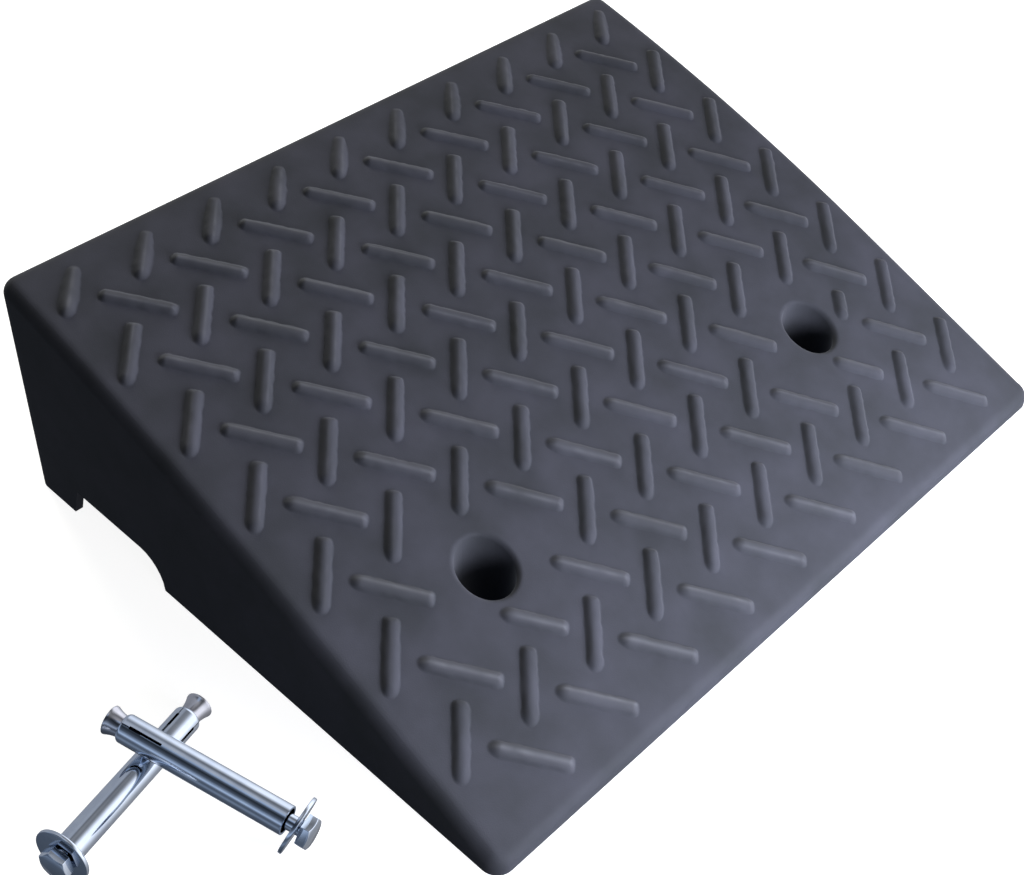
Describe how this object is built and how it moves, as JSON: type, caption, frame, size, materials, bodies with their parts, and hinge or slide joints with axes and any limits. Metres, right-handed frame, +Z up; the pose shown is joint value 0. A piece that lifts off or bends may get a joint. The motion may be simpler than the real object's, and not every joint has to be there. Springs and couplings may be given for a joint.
{
  "type": "kerb ramp",
  "caption": "Wedge-shaped plastic kerb ramp with a raised cross-bar tread, anchor wells and a channel under its rear, with loose sleeve anchors beside it.",
  "frame": {"origin": "middle of the ramp's footprint, on the ground", "axes": "+X along the kerb, +Y from the low front edge to the high rear, +Z up"},
  "size_m": [0.638, 0.38, 0.1481],
  "materials": {
    "ramp_plastic": "matte, finely grained",
    "anchor_zinc": "bright zinc plated",
    "nut_steel": "turned, zinc plated"
  },
  "bodies": {
    "ramp": {"ramp": "ramp_plastic"},
    "lower_sleeve": {"lower_anchor_sleeve": "anchor_zinc"},
    "lower_bolt": {"lower_anchor_bolt": "anchor_zinc"},
    "lower_washer": {"lower_anchor_washer": "anchor_zinc"},
    "lower_nut": {"lower_anchor_nut": "nut_steel"},
    "upper_sleeve": {"upper_anchor_sleeve": "anchor_zinc"},
    "upper_bolt": {"upper_anchor_bolt": "anchor_zinc"},
    "upper_washer": {"upper_anchor_washer": "anchor_zinc"},
    "upper_nut": {"upper_anchor_nut": "nut_steel"}
  },
  "joints": [
    {"name": "lower_anchor_lift", "type": "slide", "parent": "ramp", "child": "lower_sleeve", "axis": [0, 0, 1], "range_m": [0, 0.1]},
    {"name": "lower_bolt_turn", "type": "hinge", "parent": "lower_sleeve", "child": "lower_bolt", "pos_m": [-0.38572, -0.04576, 0.01416], "axis": [0.9584, 0.2785, -0.0621], "range_deg": [-720, 720]},
    {"name": "lower_nut_travel", "type": "slide", "parent": "lower_sleeve", "child": "lower_nut", "axis": [0.9584, 0.2785, -0.0621], "range_m": [-0.0025, 0.0025]},
    {"name": "lower_washer_slide", "type": "slide", "parent": "lower_sleeve", "child": "lower_washer", "axis": [0.9584, 0.2785, -0.0621], "range_m": [-0.0009, 0.0004]},
    {"name": "upper_anchor_lift", "type": "slide", "parent": "lower_sleeve", "child": "upper_sleeve", "axis": [0, 0, 1], "range_m": [0, 0.1]},
    {"name": "upper_bolt_turn", "type": "hinge", "parent": "upper_sleeve", "child": "upper_bolt", "pos_m": [-0.2955, -0.11192, 0.01332], "axis": [-0.2946, 0.9459, 0.136], "range_deg": [-720, 360]},
    {"name": "upper_nut_travel", "type": "slide", "parent": "upper_sleeve", "child": "upper_nut", "axis": [-0.2946, 0.9459, 0.136], "range_m": [-0.00125, 0.0025]},
    {"name": "upper_washer_slide", "type": "slide", "parent": "upper_sleeve", "child": "upper_washer", "axis": [-0.2946, 0.9459, 0.136], "range_m": [-0.00029, 0.00244]}
  ],
  "couplings": [
    {"joint": "lower_nut_travel", "follows": "lower_bolt_turn", "m_per_rad": -0.00019894},
    {"joint": "upper_nut_travel", "follows": "upper_bolt_turn", "m_per_rad": -0.00019894}
  ]
}
